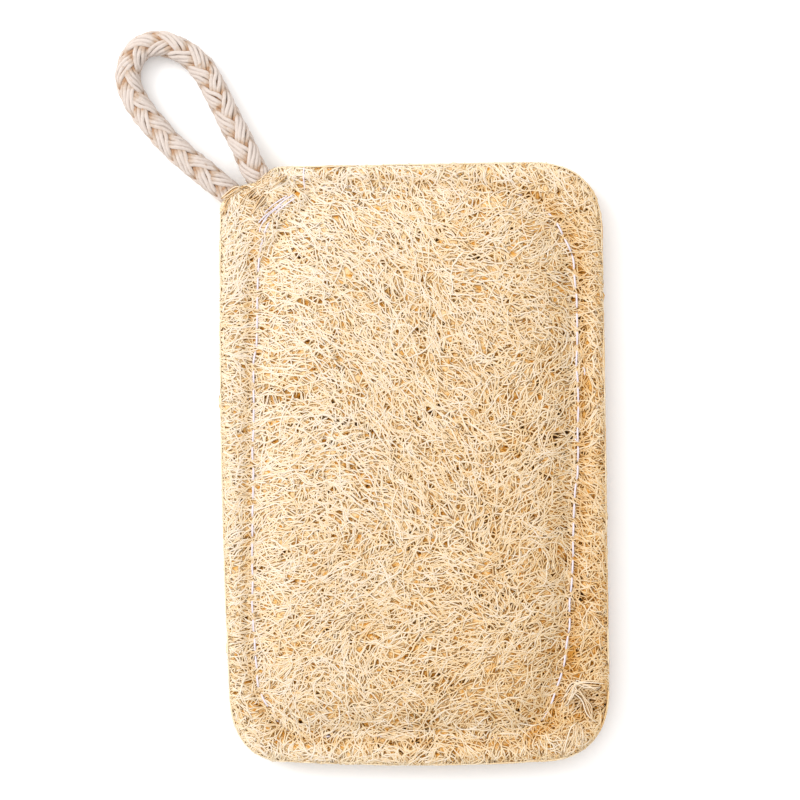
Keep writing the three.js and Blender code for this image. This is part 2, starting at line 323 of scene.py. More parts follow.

# Undyed cotton: matt and slightly fuzzy, off-white, with a few flecks of seed hull, and painted shade
# that makes it browner where a strand dips under the next, at the edges of a strand and in the gaps
# between the yarns
cotton, cotton_shader = new_material("undyed_cotton_yarn")
place = add_node(cotton, "ShaderNodeTexCoord").outputs["Object"]
lift = add_node(cotton, "ShaderNodeAttribute", {"attribute_name": "tone"}).outputs["Fac"]
fuzz = add_node(
    cotton, "ShaderNodeTexNoise", Vector=place, Scale=1 / FUZZ_SIZE, Detail=4.0, Roughness=0.7
)
shade = add_node(cotton, "ShaderNodeMath", {"operation": "MULTIPLY_ADD"})
link(cotton, fuzz.outputs["Fac"], shade.inputs[0])
shade.inputs[1].default_value = 0.9
link(cotton, lift, shade.inputs[2])
hull = add_node(cotton, "ShaderNodeTexNoise", Vector=place, Scale=1 / HULL_FLECK_SIZE, Detail=2.0)
fleck = add_node(
    cotton,
    "ShaderNodeMapRange",
    Value=hull.outputs["Fac"],
    From_Min=0.6,
    From_Max=0.75,
    To_Max=0.5,
)
flecked = add_node(cotton, "ShaderNodeMath", {"operation": "SUBTRACT"})
link(cotton, shade.outputs["Value"], flecked.inputs[0])
link(cotton, fleck.outputs["Result"], flecked.inputs[1])
ramp = add_node(cotton, "ShaderNodeValToRGB", Fac=flecked.outputs["Value"])
ramp.color_ramp.elements[0].position = 0.2
ramp.color_ramp.elements[0].color = linear("A88263")
ramp.color_ramp.elements[1].position = 0.85
ramp.color_ramp.elements[1].color = linear("CDC0B7")
ramp.color_ramp.elements.new(0.5).color = linear("BCA693")
bump = add_node(cotton, "ShaderNodeBump", Strength=1.0, Distance=0.3 * MM, Height=fuzz.outputs["Fac"])
link(cotton, ramp.outputs["Color"], cotton_shader.inputs["Base Color"])
link(cotton, bump.outputs["Normal"], cotton_shader.inputs["Normal"])
cotton_shader.inputs["Roughness"].default_value = 0.9
hanging_loop = add_piece("hanging_loop_braid", cord_mesh, cotton, "cotton_cord", "hanging_loop")


# Loofah panels: two sheets of dry loofah, the fibre net that is left of the ripe fruit. They are
# flattened, cut to one outline and sewn together near the edge. Each is a mat of pressed inner
# fibre under a net of paler strands; the mat and the deeper strands are painted darker and more
# golden as shade. Sizes here are in millimetres, up to the meshes
SEAM_PLANE = 6.5
CROWN_RISE = 7.0
VALLEY_RISE = 2.4
MARGIN_RISE = 0.9
VALLEY_HALF_WIDTH = 1.3
SHOULDER_WIDTH = 5.5
EDGE_ROUND = 3.0
EDGE_DROP = 1.0
OUTLINE = (
    (-43, -53),
    (
        (-42.4, -69, -30, -69.2),
        (-1, -71, 28, -69.2),
        (45.45, -69.4, 45.37, -52),
        (44.7, 1, 43.8, 53.5),
        (43.6, 70.1, 27, 70.1),
        (-1, 69.6, -30, 69.1),
        (-33.4, 69.1, -34.1, 67.2),
        (-34.6, 65.6, -37.6, 65.2),
        (-43.6, 64.1, -45.1, 59.4),
        (-45.8, 2, -43, -53),
    ),
)
SEAM_LINE = (
    (-37, -44),
    (
        (-35.6, -63.2, -22, -63),
        (0, -63.4, 22, -63.4),
        (33.5, -62.5, 35.9, -38),
        (38.8, 8, 37.4, 43),
        (35.7, 60, 22, 62.8),
        (0, 64, -21, 64.3),
        (-34.8, 61.5, -36.2, 47),
        (-38, -8, -37, -44),
    ),
)


def loop_points(loop, steps=10):
    """A closed loop of bends as points, in millimetres."""
    start, bends = loop
    points = []
    for cx, cy, x, y in bends:
        for t in np.linspace(0, 1, steps, endpoint=False):
            points.append(
                [
                    (1 - t) ** 2 * a + 2 * t * (1 - t) * b + t**2 * c
                    for a, b, c in ((start[0], cx, x), (start[1], cy, y))
                ]
            )
        start = (x, y)
    return np.array(points)


def depth_inside(points, xy):
    """How far places lie inside a closed loop of points; negative outside it."""
    nearest = np.full(len(xy), 1e9)
    inside = np.zeros(len(xy), bool)
    for a, b in zip(points, np.roll(points, -1, axis=0)):
        run = b - a
        t = np.clip((xy - a) @ run / (run @ run), 0, 1)
        nearest = np.minimum(nearest, np.linalg.norm(xy - a - t[:, None] * run, axis=1))
        if a[1] != b[1]:
            spans = (a[1] > xy[:, 1]) != (b[1] > xy[:, 1])
            inside ^= spans & (xy[:, 0] < a[0] + (xy[:, 1] - a[1]) / run[1] * run[0])
    return np.where(inside, nearest, -nearest)


def blended(values, place):
    """Values of a grid at places between its points."""
    cell = np.clip(np.floor(place).astype(int), 0, np.array(values.shape) - 2)
    t = np.clip(place - cell, 0, 1)
    t = t * t * (3 - 2 * t)
    i, j = cell.T
    low = values[i, j] * (1 - t[:, 0]) + values[i + 1, j] * t[:, 0]
    high = values[i, j + 1] * (1 - t[:, 0]) + values[i + 1, j + 1] * t[:, 0]
    return low * (1 - t[:, 1]) + high * t[:, 1]


GRID_CORNER = np.array([-52.0, -77.0])
GRID_CELL = 0.5
NOISE_CELLS = (128, 160)


def on_grid(function):
    """The same function of places, worked out once on a grid and looked up there."""
    columns, rows = [np.arange(corner, -corner, GRID_CELL) for corner in GRID_CORNER]
    xs, ys = np.meshgrid(columns, rows, indexing="ij")
    values = function(np.column_stack([xs.ravel(), ys.ravel()])).reshape(xs.shape)
    return lambda xy: blended(values, (xy - GRID_CORNER) / GRID_CELL)


def slow_noise(seed, size):
    """Smooth noise from -1 to 1 that changes over about size millimetres."""
    values = np.random.RandomState(seed).uniform(-1, 1, NOISE_CELLS)
    return lambda xy: blended(values, (xy - GRID_CORNER) / size)


outline_points = loop_points(OUTLINE)
seam_points = loop_points(SEAM_LINE)
sewn_ends = [np.array(CORD_ROUTE[:4])[:, :2], np.array(CORD_ROUTE[-4:])[:, :2]]


SHEET_OVER_CORD = 1.6


def cord_hump(xy):
    """Height from the seam plane of the hump over the sewn ends of the cord."""
    aside = np.full(len(xy), 1e9)
    for end in sewn_ends:
        for a, b in zip(end, end[1:]):
            run = b - a
            t = np.clip((xy - a) @ run / (run @ run), 0, 1)
            aside = np.minimum(aside, np.linalg.norm(xy - a - t[:, None] * run, axis=1))
    radius = CORD_DIAMETER / MM / 2 + SHEET_OVER_CORD
    return np.sqrt(np.maximum(0, radius**2 - aside**2))


def panel_rise(xy):
    """Height of either panel's face from the seam plane, in millimetres."""
    seam = depth_inside(seam_points, xy)
    edge = depth_inside(outline_points, xy)
    past = np.maximum(0, np.abs(seam) - VALLEY_HALF_WIDTH)
    crown = 1 - np.exp(-((past / SHOULDER_WIDTH) ** 1.2))
    margin = 1 - np.exp(-(past**2) / 2)
    edge_share = np.clip(1 - edge / EDGE_ROUND, 0, 1.2)
    inner = VALLEY_RISE + (CROWN_RISE - VALLEY_RISE) * crown
    outer = VALLEY_RISE + MARGIN_RISE * margin - EDGE_DROP * edge_share**2
    return np.maximum(np.where(seam > 0, inner, outer), cord_hump(xy))


CREASE_PLACE = (41.0, -55.5)
CREASE_REACH = (4.2, 2.6)
CREASE_DEPTH = 2.2


def folded_corner(xy):
    """Depth of the crease at the lower right corner, where the sheets folded when they were cut."""
    across = (((xy - CREASE_PLACE) / CREASE_REACH) ** 2).sum(axis=1)
    return CREASE_DEPTH * np.exp(-across)


edge_depth = on_grid(lambda xy: depth_inside(outline_points, xy))
seam_depth = on_grid(lambda xy: depth_inside(seam_points, xy))
face_rise = on_grid(lambda xy: panel_rise(xy) - folded_corner(xy))

# The back panel lies pressed flat on the floor, so its strands reach no further than this
BACK_REACH = SEAM_PLANE - 0.36

# Flow of the strands over the front face: a place, the way the strands run there in degrees, and
# how far that reaches
FRONT_FLOW = (
    (-25, 48, -10, 8),
    (-11, 57, -45, 8),
    (-2, 53, -50, 8),
    (-16, 30, -50, 8),
    (-13, 20, -50, 8),
    (-29, 11, 5, 8),
    (-30, 24, -20, 7),
    (4, 14, -40, 9),
    (9, 34, -60, 9),
    (14, 50, 10, 8),
    (22, 37, -20, 8),
    (28, 18, 50, 8),
    (-2, -1, -45, 8),
    (-23, 2, 16, 8),
    (-29, -6, 20, 7),
    (-14, -11, -38, 8),
    (4, -8, -45, 8),
    (-23, -26, 25, 8),
    (-5, -23, 45, 7),
    (-24, -38, 25, 8),
    (-13, -48, -70, 7),
    (4, -43, 30, 8),
    (12, -31, -45, 8),
    (22, -43, 30, 8),
    (18, -8, 60, 8),
    (-8, -58, 10, 7),
    (41, 50, -20, 5),
    (41, 20, -60, 5),
    (41, -5, -30, 5),
    (41, -30, -45, 5),
    (-41, 50, 60, 4),
    (-41, 35, 5, 4),
    (-41, 20, -10, 4),
    (-41, 0, 5, 4),
    (-41, -20, 15, 4),
    (-40, -40, -5, 4),
)


WIDE_SWIRL = 9.0
FINE_SWIRL = 3.0


def flow_angle(strokes, seed):
    """The way the strands run at places, from strokes and noise of two sizes."""
    wide = [slow_noise(seed, WIDE_SWIRL), slow_noise(seed + 1, WIDE_SWIRL)]
    fine = [slow_noise(seed + 2, FINE_SWIRL), slow_noise(seed + 3, FINE_SWIRL)]

    def at(xy):
        ways = np.stack([0.4 * w(xy) + 0.75 * f(xy) for w, f in zip(wide, fine)], axis=1)
        for x, y, degrees, reach in strokes:
            weight = np.exp(-((xy - (x, y)) ** 2).sum(axis=1) / (2 * reach**2))
            double = math.radians(2 * degrees)
            ways += weight[:, None] * np.array([math.cos(double), math.sin(double)])
        return np.arctan2(ways[:, 1], ways[:, 0]) / 2

    return at


# How much a strand curls a millimetre and strays at a step, and how fast it turns back to the flow
STRAND_CURL = 0.15
STRAND_STRAY = 0.24
TURN_BACK = 0.42
LARGEST_TURN = 0.6


def walk(rng, flow, spots, leans, way, steps, step):
    """Paths from places along the flow at a lean, one way or the other."""
    heading = flow(spots) + leans + way
    curl = rng.normal(0, STRAND_CURL, len(spots)) * step
    path = [spots]
    for _ in range(steps):
        wanted = flow(spots) + leans
        turn = (wanted - heading + math.pi / 2) % math.pi - math.pi / 2
        turn = TURN_BACK * np.clip(turn, -LARGEST_TURN, LARGEST_TURN)
        heading = heading + turn + curl + rng.normal(0, STRAND_STRAY, len(spots))
        spots = spots + step * np.stack([np.cos(heading), np.sin(heading)], axis=1)
        path.append(spots)
    return np.stack(path, axis=1)


COVER_CELLS = (104, 154)
SPOTS_TRIED = 700
STRANDS_STARTED = 110
SPOT_HALF_AREA = (46, 71)


def in_cells(xy):
    """The millimetre cells of the pad that places lie in."""
    spots = np.floor(xy - GRID_CORNER).astype(int)
    return tuple(np.clip(spots[:, i], 0, COVER_CELLS[i] - 1) for i in range(2))


def grow_lines(rng, flow, run, lengths, lean, wide_share, step):
    """Lines in plan, run millimetres in all, in batches that start where few lie so far."""
    cover = np.zeros(COVER_CELLS)
    thin = slow_noise(rng.randint(1000), 5.0)
    lines = []
    grown = 0.0
    while grown < run:
        spots = rng.uniform(np.negative(SPOT_HALF_AREA), SPOT_HALF_AREA, (SPOTS_TRIED, 2))
        spots = spots[edge_depth(spots) > 0.2]
        crowd = cover[in_cells(spots)] + 0.35 * thin(spots) + rng.uniform(0, 0.5, len(spots))
        starts = spots[np.argsort(crowd)[:STRANDS_STARTED]]
        leans = rng.normal(0, lean, len(starts))
        wide = rng.random_sample(len(starts)) < wide_share
        leans[wide] = rng.uniform(-math.pi / 2, math.pi / 2, wide.sum())
        halves = rng.uniform(*lengths, len(starts)) / 2 / step
        sides = []
        for way in (math.pi, 0.0):
            path = walk(rng, flow, starts, leans, way, int(halves.max()) + 1, step)
            depth = edge_depth(path.reshape(-1, 2)).reshape(path.shape[:2])
            outside = depth < rng.uniform(-0.2, 0.5)
            reach = np.where(outside.any(axis=1), outside.argmax(axis=1), path.shape[1])
            reach = np.minimum(reach, halves.astype(int) + 1)
            sides.append([line[:count] for line, count in zip(path, reach)])
        for back, ahead in zip(*sides):
            line = np.vstack([back[:0:-1], ahead])
            if len(line) > 2:
                lines.append(line)
                grown += step * (len(line) - 1)
                np.add.at(cover, in_cells(line), 0.4 * step)
    return lines


PIT_STRETCH = 2.2


def scattered_pits(rng, flow, count, widths):
    """Lens-shaped openings between the strands: place, the way they run and half their width."""
    spots = rng.uniform((-45, -70), (45, 70), (3 * count, 2))
    spots = spots[edge_depth(spots) > 1.2][:count]
    ways = flow(spots) + rng.normal(0, 0.3, len(spots))
    return list(zip(spots, ways, rng.uniform(*widths, len(spots))))


def part_round(lines, pits):
    """Strands pushed aside where they meet an opening, so that it stays open."""
    xy = np.vstack(lines)
    for spot, way, width in pits:
        ahead = np.array([math.cos(way), math.sin(way)])
        side = np.array([-ahead[1], ahead[0]])
        away = xy - spot
        along = away @ ahead / (PIT_STRETCH * width)
        across = away @ side
        half = width * np.sqrt(np.maximum(0, 1 - along**2))
        push = np.clip(half - np.abs(across), 0, None) * np.where(across < 0, -1, 1)
        xy += push[:, None] * side
    return np.split(xy, np.cumsum([len(line) for line in lines])[:-1])


def lay_lines(rng, lines, step, depths, wave, face):
    """Lines in metres at their depths in a panel, each winding up and down on its own."""
    counts = [len(line) for line in lines]
    xy = np.vstack(lines)
    run = np.concatenate([np.arange(count) for count in counts]) * step
    pace = np.repeat(2 * math.pi / rng.uniform(4, 10, len(lines)), counts)
    start = np.repeat(rng.uniform(0, 2 * math.pi, len(lines)), counts)
    depth = np.repeat(rng.uniform(*depths, len(lines)), counts)
    fall = 1.4 * np.clip(1 - edge_depth(xy) / 1.3, 0, 1.2) ** 2
    rise = face_rise(xy) - fall + wave * np.sin(pace * run + start)
    rise = (rise if face > 0 else np.minimum(rise, BACK_REACH)) - depth
    points = np.column_stack([xy, SEAM_PLANE + face * np.maximum(rise, 0.25)]) * MM
    return np.split(points, np.cumsum(counts)[:-1])


MOTTLE_SIZE = 3.846
# The grain of a fibre is drawn coarser than the real one, which is too fine to show
GRAIN_SIZE = 0.556
DRIFT_SIZE = 4.545
DRIFT_REACH = 2.4
OPENING_SIZE = 1.5


def loofah_material(name, colours, opening_shade=0.0):
    """Dry loofah: straw-like plant fibre, matt and mottled, and where asked with painted shade that
    darkens the openings of its net.
    """
    material, shader = new_material(name)
    tone = add_node(material, "ShaderNodeAttribute", {"attribute_name": "tone"}).outputs["Fac"]
    spot = add_node(material, "ShaderNodeTexCoord").outputs["Object"]
    mottle = add_node(
        material, "ShaderNodeTexNoise", Vector=spot, Scale=1 / (MOTTLE_SIZE * MM), Detail=3.0
    )
    shift = add_node(
        material, "ShaderNodeMapRange", Value=mottle.outputs["Fac"], To_Min=-0.25, To_Max=0.25
    )
    total = add_node(material, "ShaderNodeMath", {"operation": "ADD"})
    link(material, tone, total.inputs[0])
    link(material, shift.outputs["Result"], total.inputs[1])
    grain = add_node(
        material, "ShaderNodeTexNoise", Vector=spot, Scale=1 / (GRAIN_SIZE * MM), Detail=2.0
    )
    height = grain.outputs["Fac"]
    if opening_shade:
        drift = add_node(
            material, "ShaderNodeTexNoise", Vector=spot, Scale=1 / (DRIFT_SIZE * MM)
        )
        bent = add_node(material, "ShaderNodeVectorMath", {"operation": "MULTIPLY_ADD"})
        link(material, drift.outputs["Color"], bent.inputs[0])
        bent.inputs[1].default_value = (DRIFT_REACH * MM,) * 3
        link(material, spot, bent.inputs[2])
        drawn = add_node(
            material,
            "ShaderNodeMapping",
            Vector=bent.outputs["Vector"],
            Rotation=(0, 0, 0.7),
            Scale=(0.6, 1, 1),
        )
        net = add_node(
            material,
            "ShaderNodeTexVoronoi",
            {"feature": "DISTANCE_TO_EDGE"},
            Vector=drawn.outputs["Vector"],
            Scale=1 / (OPENING_SIZE * MM),
        )
        gap = add_node(
            material,
            "ShaderNodeMapRange",
            Value=net.outputs["Distance"],
            From_Min=0.1,
            From_Max=0.3,
            To_Max=opening_shade,
        )
        # Painted shade: the openings of the net are darkened here, and also sunk by the bump below
        low = add_node(material, "ShaderNodeMath", {"operation": "SUBTRACT"})
        link(material, total.outputs["Value"], low.inputs[0])
        link(material, gap.outputs["Result"], low.inputs[1])
        total = low
        sunk = add_node(
            material, "ShaderNodeMapRange", Value=gap.outputs["Result"], To_Min=1.0, To_Max=-4.0
        )
        height = sunk.outputs["Result"]
    ramp = add_node(material, "ShaderNodeValToRGB", Fac=total.outputs["Value"])
    ramp.color_ramp.elements[0].color = linear(colours[0])
    ramp.color_ramp.elements[1].color = linear(colours[-1])
    for i, colour in enumerate(colours[1:-1]):
        ramp.color_ramp.elements.new((i + 1) / (len(colours) - 1)).color = linear(colour)
    link(material, ramp.outputs["Color"], shader.inputs["Base Color"])
    bump = add_node(material, "ShaderNodeBump", Strength=0.35, Distance=0.08 * MM, Height=height)
    link(material, bump.outputs["Normal"], shader.inputs["Normal"])
    shader.inputs["Roughness"].default_value = 0.7
    shader.inputs["Specular IOR Level"].default_value = 0.12
    return material


# The same fibre in four shades of painted light and shade: the deeper a layer lies, the darker and
# more golden it is painted, for the shade and the light shining through the fibre down there, and
# the net on top is pale straw
mat_fibre = loofah_material("pressed_loofah_mat", ("3A2208", "C07A1A", "D8A456", "E6CA9C"), 0.5)
inner_fibre = loofah_material("golden_inner_loofah", ("B87418", "D49C46", "E2BE84"))
under_fibre = loofah_material("straw_loofah_strands", ("C4862E", "E0BF8A", "ECDABC"))
surface_fibre = loofah_material("pale_loofah_strands", ("C28C3C", "E2C8A0", "ECDFCE"))

MAT_DEPTH = 0.34
MAT_INSET = 0.45
MAT_HALF_AREA = (46, 71)
MAT_FOOT = 0.2
PIT_DEPTH = 0.3
# Places in millimetres of the deepest openings of the net, which the mat paints nearly black as shade
DARK_PITS = (
    (-21.2, 10.9),
    (-19.4, 10.7),
    (-17.3, 10.2),
    (-15.6, 9.6),
    (-20.3, 4.4),
    (-18.2, 4.9),
    (-16.8, 3.4),
    (-15.2, 5.0),
    (24.8, 25.4),
    (28.5, 19.0),
    (28.6, 16.7),
    (35.6, 21.2),
    (35.2, 15.5),
    (33.5, 11.8),
    (25.0, 8.5),
    (29.1, 6.8),
    (32.6, 6.6),
    (34.5, 0.2),
    (0.4, -36.2),
    (2.2, -35.6),
    (14.5, 47.5),
)
# Places and half widths in millimetres of the widest openings, which the mat paints golden as shade
GOLDEN_PITS = (
    (-6.3, 40.3, 0.8),
    (-25.2, 37.4, 0.9),
    (-22.5, 37.8, 0.8),
    (-9.7, 42.3, 0.7),
    (-18.3, 25.6, 0.8),
    (-22.3, 25.2, 0.8),
    (-33.2, 14.8, 1.3),
    (-26.3, 15.7, 0.9),
    (22.3, 51.6, 0.7),
    (9.6, 37.6, 0.8),
    (3.9, 12.1, 0.9),
    (17.8, 10.6, 0.8),
    (-6.3, 13.2, 0.8),
    (-11.0, 8.6, 0.8),
    (-12.3, 60.0, 0.7),
)


def panel_light_and_tone(xy):
    """How pale the strands are over the face. Painted light: paler to the upper left, where the
    light comes from, and paler along the cut edge against the shade there. Painted shade: darker
    in the valley just outside the seam. Also a little paler inside the seam, on the left margin
    and on the top and bottom margins.
    """
    seam = seam_depth(xy)
    # Painted light: paler to the upper left, where the light comes from
    tone = np.where(seam > 0, 0.06, 0.0) - 0.004 * xy[:, 0] + 0.0014 * xy[:, 1]
    tone += 0.05 * np.clip((-38 - xy[:, 0]) / 2, 0, 1)
    tone += 0.16 * np.clip((np.abs(xy[:, 1]) - 62) / 3, 0, 1)
    # Painted light along the cut edge against the shade there, and painted shade in the valley just
    # outside the seam
    tone += 0.25 * np.clip(1 - edge_depth(xy), 0, 1)
    return tone - 0.22 * np.exp(-(((seam + 1.3) / 1.1) ** 2))


def inside_pits(xy, pits):
    """How deep places lie in the openings of the net, from 0 beside them to 1."""
    share = np.zeros(len(xy))
    for spot, way, width in pits:
        ahead = np.array([math.cos(way), math.sin(way)])
        side = np.array([-ahead[1], ahead[0]])
        away = xy - spot
        reach = np.hypot(away @ ahead / (PIT_STRETCH * width), away @ side / width)
        share = np.maximum(share, np.clip(2.6 - 2 * reach, 0, 1))
    return share


def mat_mesh(name, face, seed, cell, pits):
    """The pressed mat of a panel: its face under the strands, its cut edge and its flat inside."""
    bm = bmesh.new()
    columns, rows = [round(2 * half / cell) for half in MAT_HALF_AREA]
    bmesh.ops.create_grid(bm, x_segments=columns, y_segments=rows, size=1.0)
    bmesh.ops.scale(bm, vec=(*MAT_HALF_AREA, 1), verts=bm.verts)
    depth = edge_depth(np.array([v.co.xy for v in bm.verts]))
    out = [v for v, d in zip(bm.verts, depth) if d < MAT_INSET + 0.6 * cell]
    bmesh.ops.delete(bm, geom=out, context="VERTS")
    for v in bm.verts:
        if v.is_boundary:
            here = np.array([v.co.xy])
            slope = [edge_depth(here + s)[0] - edge_depth(here - s)[0] for s in ((0.3, 0), (0, 0.3))]
            slope = np.array(slope) / np.hypot(*slope)
            v.co.xy = here[0] - slope * (edge_depth(here)[0] - MAT_INSET)
    xy = np.array([v.co.xy for v in bm.verts])
    pit = inside_pits(xy, pits)
    fall = 1.2 * np.clip(1 - edge_depth(xy) / 1.3, 0, 1) ** 2
    rise = face_rise(xy) - fall + 0.08 * slow_noise(seed, 1.5)(xy)
    rise = (rise if face > 0 else np.minimum(rise, BACK_REACH)) - MAT_DEPTH - PIT_DEPTH * pit
    for v, height in zip(bm.verts, rise):
        v.co.z = SEAM_PLANE + face * max(height, 0.6)
    rim = [e for e in bm.edges if e.is_boundary]
    made = bmesh.ops.extrude_edge_only(bm, edges=rim)["geom"]
    for v in made:
        if isinstance(v, bmesh.types.BMVert):
            v.co.z = SEAM_PLANE + face * MAT_FOOT
    bmesh.ops.holes_fill(bm, edges=[e for e in bm.edges if e.is_boundary], sides=0)
    bmesh.ops.triangulate(bm, faces=[f for f in bm.faces if len(f.verts) > 4])
    bmesh.ops.recalc_face_normals(bm, faces=bm.faces)
    bmesh.ops.scale(bm, vec=(MM, MM, MM), verts=bm.verts)
    mesh = bpy.data.meshes.new(name)
    bm.to_mesh(mesh)
    bm.free()
    mesh.shade_smooth()
    places = np.array([v.co.xy for v in mesh.vertices]) / MM
    tone = 0.92 + 0.12 * slow_noise(seed + 5, 2.2)(places) + 0.7 * panel_light_and_tone(places)
    # Painted shade: darker in the openings of the net and in the crease of the folded corner, and
    # darkest in the deepest openings
    tone -= 0.5 * inside_pits(places, pits) + 0.25 * folded_corner(places)
    for x, y in DARK_PITS:
        tone -= 0.8 * np.exp(-((places - (x, y)) ** 2).sum(axis=1) / 0.8)
    mesh.attributes.new("tone", "FLOAT", "POINT").data.foreach_set("value", np.clip(tone, 0, 1))
    return mesh


# The three layers of the net: the lengths of their strands, how far these lean off the flow and how
# many run any way, then their depth under the face, their waves, their radii and their tone
INNER_STRANDS = {"lengths": (5, 12), "lean": 1.0, "wide_share": 0.5, "step": 1.5}
INNER_NET = {"depths": (0.4, 0.62), "wave": 0.1, "radii": (0.22, 0.32), "tone": 0.45}
UNDER_STRANDS = {"lengths": (3, 10), "lean": 0.6, "wide_share": 0.4}
UNDER_NET = {"depths": (0.12, 0.28), "wave": 0.08, "radii": (0.27, 0.36), "tone": 0.45}
SURFACE_STRANDS = {"lengths": (4, 13), "lean": 0.35, "wide_share": 0.15}
SURFACE_RUNGS = {"lengths": (2, 4.5), "lean": 0.4, "wide_share": 1.0}
RUNG_SHARE = 0.2
SURFACE_NET = {"depths": (0.0, 0.14), "wave": 0.06, "radii": (0.25, 0.34), "tone": 0.42}
STRAND_SIDES = 3
# Painted light and shade on each strand: its top ridge this much paler, its lower sides half as much
# darker
STRAND_RIDGE_SHADE = 0.42


def add_net(name, node, face, rng, material, lines, step, depths, wave, radii, tone):
    """One layer of strands as a piece."""
    laid = lay_lines(rng, lines, step, depths, wave, face)
    sizes = [rng.uniform(*radii) * (1 + rng.normal(0, 0.12, len(line))) * MM for line in lines]
    tones = [tone + rng.normal(0, 0.12) + panel_light_and_tone(line) for line in lines]
    tones = np.concatenate(tones)
    mesh = mesh_of_lines(name, laid, sizes, STRAND_SIDES, tones=tones, ridge_shade=STRAND_RIDGE_SHADE)
    add_piece(name, mesh, material, "loofah_fibre", node)


RIM_STRANDS = 2000
RIM_RADII = (0.17, 0.26)
EDGE_STRANDS = 520
# How a rim strand turns over the cut edge: depth inside the outline and share of the way down
RIM_PROFILE = (
    (3.4, 0.0),
    (2.2, 0.03),
    (1.3, 0.08),
    (0.65, 0.2),
    (0.38, 0.4),
    (0.3, 0.65),
    (0.32, 0.97),
)

rim_points = np.vstack([loop_points(OUTLINE, 60), OUTLINE[0]])
rim_run = np.concatenate([[0], np.cumsum(np.linalg.norm(np.diff(rim_points, axis=0), axis=1))])


def beside_edge(along, depth):
    """Places at a run along the cut edge and at a depth inside it."""
    spots = []
    for shift in (0.0, -0.4, 0.4):
        run = (along + shift) % rim_run[-1]
        xy = [np.interp(run, rim_run, rim_points[:, i]) for i in range(2)]
        spots.append(np.stack(xy, axis=1))
    ahead = spots[2] - spots[1]
    inward = np.stack([-ahead[:, 1], ahead[:, 0]], axis=1)
    inward /= np.linalg.norm(inward, axis=1, keepdims=True)
    return spots[0] + inward * np.reshape(depth, (-1, 1))


def rim_lines(rng, face):
    """Short strands that turn over the cut edge of a panel, and their places in plan."""
    profile = np.array(RIM_PROFILE)
    lines = []
    plans = []
    for place in rng.uniform(0, rim_run[-1], RIM_STRANDS):
        part = profile[rng.randint(0, 3) : rng.randint(5, 8)]
        lean = rng.normal(0, 0.7)
        along = place + lean * np.linspace(-1, 1, len(part)) + rng.normal(0, 0.12, len(part))
        xy = beside_edge(along, part[:, 0] + rng.normal(0, 0.05, len(part)) * (1 + part[:, 0]))
        base = face_rise(beside_edge(along, 3.0)) - rng.uniform(0, 0.6)
        base = base if face > 0 else np.minimum(base, BACK_REACH)
        lip = np.where(cord_hump(xy) > 3.2, cord_hump(xy) - 1.3, 0.0) - 0.4 * part[:, 1]
        height = np.maximum(base * (1 - part[:, 1]), lip)
        plans.append(xy)
        lines.append(np.column_stack([xy, SEAM_PLANE + face * height]) * MM)
    return lines, plans


def edge_lines(rng, face):
    """Strands that run along the cut edge of a panel, and their places in plan."""
    lines = []
    plans = []
    for place in rng.uniform(0, rim_run[-1], EDGE_STRANDS):
        along = place + np.arange(0, rng.uniform(4, 13), 1.2)
        climb = rng.uniform(-0.25, 0.25) * (along - place) + rng.normal(0, 0.2, len(along))
        height = np.clip(rng.uniform(0.1, 2.6) + climb, 0.08, 2.4)
        xy = beside_edge(along, rng.uniform(0.3, 0.45))
        plans.append(xy)
        lines.append(np.column_stack([xy, SEAM_PLANE + face * height]) * MM)
    return lines, plans


def add_panel(node, face, seed, strokes, inner_run, net_run, step, cell):
    """A panel's mat, its golden inner net, its two paler outer nets and its rim."""
    rng = np.random.RandomState(seed)
    flow = flow_angle(strokes, seed)
    pits = scattered_pits(rng, flow, 1100, (0.3, 0.62))
    pits += [(np.array([x, y]), flow(np.array([[x, y]]))[0], width) for x, y, width in GOLDEN_PITS]
    holes = scattered_pits(rng, flow, 60, (0.35, 0.55))
    holes += [(np.array(spot), flow(np.array([spot]))[0] + 0.5, 0.5) for spot in DARK_PITS]
    mat = mat_mesh(node + "_mat", face, seed, cell, pits + holes)
    add_piece(node + "_mat", mat, mat_fibre, "loofah_fibre", node)

    lines = part_round(grow_lines(rng, flow, inner_run, **INNER_STRANDS), holes)
    inner_step = INNER_STRANDS["step"]
    add_net(node + "_inner_net", node, face, rng, inner_fibre, lines, inner_step, **INNER_NET)
    lines = part_round(grow_lines(rng, flow, net_run, step=step, **UNDER_STRANDS), pits + holes)
    add_net(node + "_under_net", node, face, rng, under_fibre, lines, step, **UNDER_NET)
    lines = grow_lines(rng, flow, (1 - RUNG_SHARE) * net_run, step=step, **SURFACE_STRANDS)
    lines += grow_lines(rng, flow, RUNG_SHARE * net_run, step=step, **SURFACE_RUNGS)
    lines = part_round(lines, pits + holes)
    add_net(node + "_surface_net", node, face, rng, surface_fibre, lines, step, **SURFACE_NET)

    over_edge, over_plans = rim_lines(rng, face)
    along_edge, along_plans = edge_lines(rng, face)
    lines = over_edge + along_edge
    sizes = [rng.uniform(*RIM_RADII) * MM for _ in lines]
    # The rim strands are painted paler than the nets: painted light against the shade along the cut
    # edge
    tones = [0.55 + rng.normal(0, 0.2) + panel_light_and_tone(plan) for plan in over_plans + along_plans]
    tones = np.concatenate(tones)
    mesh = mesh_of_lines(
        node + "_rim", lines, sizes, STRAND_SIDES, tones=tones, ridge_shade=STRAND_RIDGE_SHADE
    )
    add_piece(node + "_rim", mesh, under_fibre, "loofah_fibre", node)


